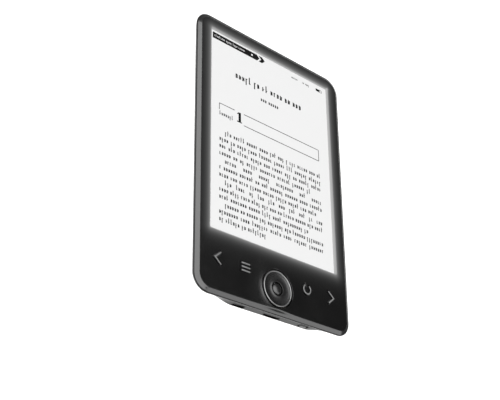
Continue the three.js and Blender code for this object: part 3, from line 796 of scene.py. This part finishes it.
def page_print(ink, page_material):
    """The page's dummy print: a tab with an arrow end, status marks, a title, a chapter box with its
    number, and thirteen rows."""
    draw = np.random.default_rng(7)
    sheet = Print()
    left, right = -39.8, 38.0

    page_tab(sheet)

    # Status marks and a cell symbol at the top right.
    greek_words(sheet, draw, 16.4, 21.2, 57.2, 1.0, 1)
    greek_words(sheet, draw, 25.4, 31.4, 57.2, 1.0, 2)
    sheet.bar(37.0, 57.3, 40.3, 59.0)
    frame_line(sheet, [(40.3, 58.85), (42.0, 58.85), (42.0, 57.45), (40.3, 57.45)], 0.3)

    # Title, second line and chapter label.
    greek_words(sheet, draw, -28.2, 24.0, 37.2, 2.9, 6)
    greek_words(sheet, draw, -9.0, 5.2, 30.0, 1.9, 2)
    greek_words(sheet, draw, left, -29.0, 8.2, 1.7, 1)

    # The chapter's number, a plain 1, and the open box beside it.
    sheet.bar(-25.9, 9.4, -24.1, 15.2)
    sheet.quad([(-26.9, 13.6), (-25.9, 14.2), (-25.9, 15.2), (-26.9, 14.2)])
    sheet.bar(-27.0, 8.8, -23.4, 9.5)
    frame_line(sheet, [(-39.8, 11.4), (-39.8, 15.4), (-28.6, 15.4)], 0.42)
    frame_line(sheet, [(-21.9, 15.4), (37.0, 15.4), (37.0, 8.1), (-22.0, 8.1)], 0.42)

    # The body: (indent, words, whether it runs to the right margin).
    rows = [(1, 11, 1), (0, 9, 1), (0, 10, 1), (0, 8, 0), (1, 6, 1), (0, 9, 1), (0, 9, 0), (1, 10, 1),
            (0, 11, 1), (0, 7, 0), (1, 8, 1), (0, 7, 1), (0, 4, 0)]
    wide_rows = (4, 7)
    short_ends = {3: 69, 6: 73, 9: 66, 12: 33.5}
    pitch = 4.37
    for i, (indent, words, full) in enumerate(rows):
        end = right if full else left + short_ends[i]
        letters = 0.78 if i in wide_rows else 1.0
        greek_words(sheet, draw, left + 3.9 * indent, end, -3.5 - i * pitch, 1.95, words, letters)
    sheet.mesh("page_print", FILM_TOP, ink, "screen_film")

    tab_marks = Print()
    greek_words(tab_marks, draw, -43.6, -20.5, 57.9, 1.0, 4)
    tab_marks.bar(-15.9, 58.0, -14.7, 59.1)
    tab_marks.mesh("tab_print", FILM_TOP + INK_RISE, page_material, "screen_film")


def heel_height(y):
    """Height of the back beside the bottom end, where the port profile is at full strength."""
    t = np.linspace(0.5, 1, 200)
    profile = port_profile(t)
    return np.interp(y + HALF_Y, profile[:, 0], profile[:, 1])


def port_icons(material):
    """Small printed signs on the back beside each port: a power sign, a card and a plug."""
    marks = []

    def stroke(points, width=0.26):
        for start, end in zip(points, points[1:]):
            start, end, side = across(start, end, width)
            reach = (end - start) * 0.08 / np.linalg.norm(end - start)
            marks.append([start - side - reach, start + side - reach, end + side + reach, end - side + reach])

    sockets = ("power_button", "card_socket_cover", "usb_socket")
    power_x, card_x, usb_x = (middle_mm(node)[0] for node in sockets)
    y = -HALF_Y + 5.4
    angle = np.radians(np.linspace(130, 410, 15))
    stroke(np.stack([power_x + 0.95 * np.cos(angle), y + 0.95 * np.sin(angle)], 1))
    stroke([(power_x, y + 0.2), (power_x, y + 1.25)])
    card = [(-0.75, -1.15), (0.75, -1.15), (0.75, 0.65), (0.25, 1.15), (-0.75, 1.15), (-0.75, -1.15)]
    stroke([(card_x + a, y + b) for a, b in card])
    plug = [(-0.9, -0.5), (0.9, -0.5), (0.9, 0.35), (-0.9, 0.35), (-0.9, -0.5)]
    stroke([(usb_x + a, y + b) for a, b in plug])
    stroke([(usb_x, y + 0.35), (usb_x, y + 1.2)])

    corners = np.array(marks)
    surface = heel_height(corners[..., 1])
    icons = prisms("port_signs", corners, surface - 0.02, surface + 0.02)
    recalculate(icons)
    return fit(icons, "housing", [], material)


def recalculate(piece):
    """Turns every face of closed solids outwards."""
    work = bmesh.new()
    work.from_mesh(piece.data)
    bmesh.ops.recalc_face_normals(work, faces=work.faces)
    work.to_mesh(piece.data)
    work.free()


# ---- materials ----------------------------------------------------------------------------------
class Wire:
    """A value in a node tree. Python's operators on it add Math nodes."""

    def __init__(self, finish, socket):
        self.finish, self.socket = finish, socket

    def _math(self, operation, *values):
        return self.finish.node("ShaderNodeMath", {"operation": operation}, dict(enumerate(values)))

    def __add__(self, other):
        return self._math("ADD", self, other)

    def __sub__(self, other):
        return self._math("SUBTRACT", self, other)

    def __rsub__(self, other):
        return self._math("SUBTRACT", other, self)

    def __mul__(self, other):
        return self._math("MULTIPLY", self, other)

    def __gt__(self, other):
        return self._math("GREATER_THAN", self, other)

    __radd__ = __add__
    __rmul__ = __mul__


class Finish:
    """A material, its Principled shader, and one method that adds any other node."""

    def __init__(self, name, **constants):
        self.material = bpy.data.materials.new(name)
        self.material.use_nodes = True
        self.tree = self.material.node_tree
        self.shader = self.tree.nodes["Principled BSDF"]
        for socket, value in constants.items():
            self.shader.inputs[socket.replace("_", " ").title().replace("Ior", "IOR")].default_value = value
        self.place = self.node("ShaderNodeTexCoord", {}, {}, "Object")

    def node(self, kind, settings, sockets, output=0):
        """Adds a node, sets its settings first, then the values or links of its sockets."""
        node = self.tree.nodes.new(kind)
        for name, value in settings.items():
            if name == "stops":
                while len(node.color_ramp.elements) < len(value):
                    node.color_ramp.elements.new(0.5)
                for element, (position, colour) in zip(node.color_ramp.elements, value):
                    element.position, element.color = position, (*colour, 1)
            else:
                setattr(node, name, value)
        for name, value in sockets.items():
            self.set(node.inputs[name], value)
        return Wire(self, node.outputs[output])

    def set(self, socket, value):
        if isinstance(value, Wire):
            self.tree.links.new(value.socket, socket)
        else:
            socket.default_value = value

    def noise(self, scale, detail=2.0, place=None):
        sockets = {"Vector": place or self.place, "Scale": scale, "Detail": detail}
        return self.node("ShaderNodeTexNoise", {}, sockets, "Fac")

    def stretched(self, scale):
        """Object coordinates stretched by a factor along each axis."""
        return self.node("ShaderNodeMapping", {}, {"Vector": self.place, "Scale": scale})

    def between(self, factor, first, second):
        """A colour between two, by a factor."""
        stops = [(0, first), (1, second)]
        return self.node("ShaderNodeValToRGB", {"stops": stops}, {"Fac": factor}, "Color")

    def bump(self, height, distance, strength=1.0):
        sockets = {"Height": height, "Distance": distance, "Strength": strength}
        return self.node("ShaderNodeBump", {}, sockets, "Normal")

    def wear(self, **links):
        """Links values to the shader's sockets by name."""
        for socket, value in links.items():
            self.set(self.shader.inputs[socket.replace("_", " ").title()], value)
        return self.material


def grey(value):
    return (value, value, value)


def moulded(name, tone, roughness, grain=3200, depth=6e-6, spread=0.25, gloss=0.5, painted_glow=None):
    """Moulded plastic: a fine spark-eroded grain, faint cloudy patches of tone and of gloss, and, when asked
    for, a glow painted into its emission.
    """
    finish = Finish(name, emission_strength=1.0 if painted_glow else 0.0, specular_ior_level=gloss)
    # The painted glow goes into the emission colour as an even grey.
    if painted_glow:
        glow = painted_glow(finish)
        white = finish.node("ShaderNodeCombineColor", {}, {"Red": glow, "Green": glow, "Blue": glow}, "Color")
        finish.wear(emission_color=white)
    patches = finish.noise(70, 3)
    fine = finish.noise(grain, 2)
    colour = finish.between(patches, [c * (1 - spread) for c in tone], [c * (1 + spread) for c in tone])
    gloss = patches * 0.08 + fine * 0.08 + (roughness - 0.08)
    return finish.wear(base_color=colour, roughness=gloss, normal=finish.bump(fine, depth))


def painted_page_glow(finish):
    """A glow painted into the bezel's emission, standing in for light from the lit page falling on it: a sum
    of two exponentials of the distance to the edge of the page."""
    parts = [finish.node("ShaderNodeSeparateXYZ", {}, {"Vector": finish.place}, axis) for axis in "XY"]
    x, y = (part * (1 / MM) for part in parts)

    def magnitude(value):
        return finish.node("ShaderNodeMath", {"operation": "ABSOLUTE"}, {0: value})

    def outside(value, half):
        return finish.node("ShaderNodeMath", {"operation": "MAXIMUM"}, {0: magnitude(value) - half, 1: 0.0})

    away_x, away_y = outside(x, PAGE_HALF_X), outside(y - PAGE_Y, PAGE_HALF_Y)
    squares = away_x * away_x + away_y * away_y
    away = finish.node("ShaderNodeMath", {"operation": "POWER"}, {0: squares, 1: 0.5})

    def decay(length):
        return finish.node("ShaderNodeMath", {"operation": "POWER"}, {0: math.exp(-1 / length), 1: away})

    return decay(1.8) * 0.3 + decay(5.5) * 0.04


def key_with_painted_shade(name, tone, side_shade_tone, top):
    """Key plastic whose raised symbol keeps its pale tone on top, while its sides are painted near-black as
    painted shade.
    """
    finish = Finish(name)
    height = finish.node("ShaderNodeSeparateXYZ", {}, {"Vector": finish.place}, "Z")
    on_top = height > (top - 0.07) * MM
    fine = finish.noise(3000, 2)
    pale = finish.between(fine, [c * 0.9 for c in tone], [c * 1.1 for c in tone])
    # Below the top the colour is the painted shade of the sides.
    colour = finish.node("ShaderNodeMix", {"data_type": "RGBA"}, {0: on_top, 6: (*side_shade_tone, 1), 7: pale}, 2)
    return finish.wear(base_color=colour, roughness=fine * 0.1 + 0.34, normal=finish.bump(fine, 4e-6))


def metal(name, tone, roughness, brushed=(1, 30, 1), depth=4e-6):
    """Rolled or brushed metal: fine lines along one axis and slight stains."""
    finish = Finish(name, metallic=1.0)
    lines = finish.noise(900, 3, finish.stretched(brushed))
    stains = finish.noise(160, 4)
    colour = finish.between(stains, [c * 0.82 for c in tone], [min(1, c * 1.1) for c in tone])
    gloss = lines * 0.18 + stains * 0.12 + (roughness - 0.12)
    return finish.wear(base_color=colour, roughness=gloss, normal=finish.bump(lines, depth))


def paper(name, tone, lit=0.0, gloss=0.5):
    """Matt electronic paper: nearly even, with a microscopic speckle under a faintly rough film. A
    front-lit page adds a little light of its own."""
    finish = Finish(name, emission_color=(*grey(lit), 1), emission_strength=1.0, specular_ior_level=gloss)
    speckle = finish.noise(5200, 3)
    cloud = finish.noise(25, 2)
    dark, pale = [c * 0.985 for c in tone], [min(1, c * 1.015) for c in tone]
    colour = finish.between(speckle * 0.6 + cloud * 0.4, dark, pale)
    return finish.wear(base_color=colour, roughness=speckle * 0.1 + 0.55, normal=finish.bump(speckle, 1e-6))


def circuit(name, tone):
    """Solder mask over copper: straight traces show as slightly raised, lighter bands."""
    finish = Finish(name)
    across = finish.node("ShaderNodeTexWave", {"bands_direction": "X"}, {
        "Vector": finish.place, "Scale": 120.0, "Distortion": 6.0, "Detail": 1.0, "Detail Scale": 0.4}, "Fac")
    traces = across > 0.72
    colour = finish.between(traces, tone, [min(1, c * 1.9) for c in tone])
    return finish.wear(base_color=colour, roughness=traces * 0.1 + 0.3, normal=finish.bump(traces, 2e-5))


def foil(name, tone, roughness):
    """A soft pouch of laminated foil: shallow wrinkles and a satin gloss."""
    finish = Finish(name, metallic=0.85)
    wrinkle = finish.noise(60, 4, finish.stretched((1, 0.4, 1)))
    fine = finish.noise(1500, 2)
    colour = finish.between(wrinkle, [c * 0.85 for c in tone], [min(1, c * 1.1) for c in tone])
    normal = finish.bump(wrinkle, 4e-4, 0.5)
    return finish.wear(base_color=colour, roughness=fine * 0.15 + roughness, normal=normal)


def glassy(name, tone, roughness):
    """Clear plastic or glass seen edge on: a tint with faint flow lines."""
    finish = Finish(name, ior=1.5, transmission_weight=0.35)
    flow = finish.noise(90, 2, finish.stretched((4, 1, 1)))
    colour = finish.between(flow, [c * 0.95 for c in tone], tone)
    return finish.wear(base_color=colour, roughness=flow * 0.06 + roughness, normal=finish.bump(flow, 1e-5))


def finish_frame_nodes():
    """Gives each frame node that still shows the finish of its record slot, except the key board, which is
    painted black as painted shade.
    """
    finishes = {
        "light_guide": glassy("clear_guide", (0.85, 0.9, 0.9), 0.08),
        "paper_white": paper("ink_layer", grey(0.55)),
        "backplane_glass": glassy("panel_glass", (0.35, 0.42, 0.4), 0.1),
        "tape_black": moulded("black_foam_tape", grey(0.012), 0.8, 1800, 2e-5),
        "frame_metal": metal("cast_magnesium", (0.42, 0.43, 0.44), 0.5, (1, 1, 1), 8e-6),
        "polyimide": circuit("amber_flex", (0.32, 0.11, 0.015)),
        "board_green": circuit("green_solder_mask", (0.008, 0.06, 0.025)),
        "steel": metal("rolled_steel", (0.6, 0.6, 0.62), 0.3),
        "chip_black": moulded("chip_resin", grey(0.012), 0.5, 2600, 1e-5),
        "socket_black": moulded("socket_resin", grey(0.01), 0.55, 2200, 1e-5),
        "cell_silver": foil("pouch_foil", (0.5, 0.51, 0.53), 0.3),
        "lead_red": moulded("red_sleeve", (0.32, 0.012, 0.01), 0.42, 1600, 1e-5),
    }
    # The key board is painted near-black instead of its amber flex, as painted shade in the gaps round the
    # keys and pad.
    board_painted_shade = circuit("painted_shade_coverlay", (0.006, 0.005, 0.004))
    slots = {row["node"]: row["material_slot"] for row in frame["record"]["subparts"]}
    for name, node in frame["nodes"].items():
        if node.hide_render:
            continue
        material = board_painted_shade if name == "key_board" else finishes[slots[name]]
        node.data.materials.clear()
        node.data.materials.append(material)


# ---- studio -------------------------------------------------------------------------------------
def studio_floor():
    """A plain pale floor well below the device."""
    half = 9000.0
    corners = [(-half, -half), (half, -half), (half, half), (-half, half)]
    floor = make_mesh("studio_floor", [(x, y, -FLOOR_DROP) for x, y in corners], [(0, 1, 2, 3)])
    finish = Finish("studio_floor")
    tone = finish.noise(2, 2)
    colour = finish.between(tone, grey(0.8), grey(0.82))
    floor.data.materials.append(finish.wear(base_color=colour, roughness=0.9))


def scrim(name, way, half_angle, radiance):
    """A wide round diffuser overhead, far enough away to light everything alike. What it gives a
    surface that faces it is its radiance times pi times the squared sine of its half angle."""
    light = bpy.data.lights.new(name, "SUN")
    light.angle = 2 * math.radians(half_angle)
    light.energy = radiance * math.pi * math.sin(math.radians(half_angle)) ** 2
    lamp = bpy.data.objects.new(name, light)
    bpy.context.scene.collection.objects.link(lamp)
    lamp.rotation_euler = Vector(way).to_track_quat("Z", "Y").to_euler()


def studio_world():
    """An even pale surround with one dark patch, where a black cloth keeps the bezel's face from
    shining."""
    world = bpy.data.worlds.new("studio")
    bpy.context.scene.world = world
    world.use_nodes = True
    tree = world.node_tree
    way = tree.nodes.new("ShaderNodeTexCoord")
    toward = tree.nodes.new("ShaderNodeVectorMath")
    toward.operation = "DOT_PRODUCT"
    toward.inputs[1].default_value = Vector((0.6, 0.46, 0.655)).normalized()
    ramp = tree.nodes.new("ShaderNodeValToRGB")
    tree.links.new(way.outputs["Generated"], toward.inputs[0])
    tree.links.new(toward.outputs["Value"], ramp.inputs["Fac"])
    for element, (position, tone) in zip(ramp.color_ramp.elements, [(0.76, 0.4), (0.9, 0.04)]):
        element.position, element.color = position, (*grey(tone), 1)
    tree.links.new(ramp.outputs["Color"], tree.nodes["Background"].inputs["Color"])


def studio_camera():
    """A camera aimed at a point of the face, from a bearing, a height angle and a roll."""
    target = Vector((18.3, -32.51, FACE)) * MM
    bearing, height, roll = math.radians(55.889), math.radians(39.188), math.radians(64.957)
    distance = 594.3 * MM
    flat = math.cos(height)
    forward = Vector((math.sin(bearing) * flat, math.cos(bearing) * flat, -math.sin(height)))
    level = forward.cross(Vector((0, 0, 1))).normalized()
    above = level.cross(forward)
    right = math.cos(roll) * level + math.sin(roll) * above
    up = right.cross(forward)
    camera = bpy.data.cameras.new("camera")
    camera.sensor_width = 36
    camera.lens = 77.36
    camera.shift_x, camera.shift_y = -0.1, 0.07
    camera.clip_start = 0.01
    holder = bpy.data.objects.new("camera", camera)
    bpy.context.scene.collection.objects.link(holder)
    holder.matrix_world = Matrix((
        (right.x, up.x, -forward.x, 0),
        (right.y, up.y, -forward.y, 0),
        (right.z, up.z, -forward.z, 0),
        (0, 0, 0, 1),
    ))
    holder.location = target - forward * distance
    bpy.context.scene.camera = holder


# ---- assembly -----------------------------------------------------------------------------------
studio_camera()
studio_world()
studio_floor()
scrim("overhead", (-0.01, 0.14, 0.985), 33, 5.0)
scrim("lower_right", (0.67, -0.2, 0.72), 14, 3.2)

case_black = moulded("case_black", grey(0.004), 0.28, gloss=0.18)
# The bezel's emission holds a painted glow near the page's edges, standing in for light from the lit page.
bezel_black = moulded("bezel_black", grey(0.003), 0.17, painted_glow=painted_page_glow)
grip_black = moulded("grip_black", grey(0.005), 0.42, 2600, 1e-5, gloss=0.25)
stud_black = moulded("stud_black", grey(0.035), 0.4, 2600, 4e-6, gloss=0.4)
key_grey = moulded("key_grey", grey(0.1), 0.36)
# Key caps pale on top, with painted shade: their sides are painted near-black.
key_painted_shade = key_with_painted_shade("key_painted_shade", grey(0.11), grey(0.003), KEY_TOP)
pad_black = moulded("pad_black", grey(0.004), 0.28)
rim_bright = metal("rim_bright", grey(0.22), 0.3, (1, 1, 12))
page_white = paper("page_white", grey(0.4), 0.1)
page_ink = paper("page_ink", grey(0.004), gloss=0.05)
# The port's steel is painted darker than the frame's steel, as painted shade inside the mouth.
steel_painted_shade = metal("steel_painted_shade", grey(0.3), 0.4)
sign_grey = moulded("sign_grey", grey(0.12), 0.6)

front_bezel(bezel_black)
page_keys(key_painted_shade)
navigation_pad(pad_black, rim_bright, pad_black)
power_cap(key_grey)
rear_shell(case_black)
grip_skin(grip_black)
grip_dots(stud_black)
usb_shell(steel_painted_shade)
page_sheet(page_white)
page_print(page_ink, page_white)
port_icons(sign_grey)
finish_frame_nodes()

bpy.context.scene.view_settings.view_transform = "Standard"
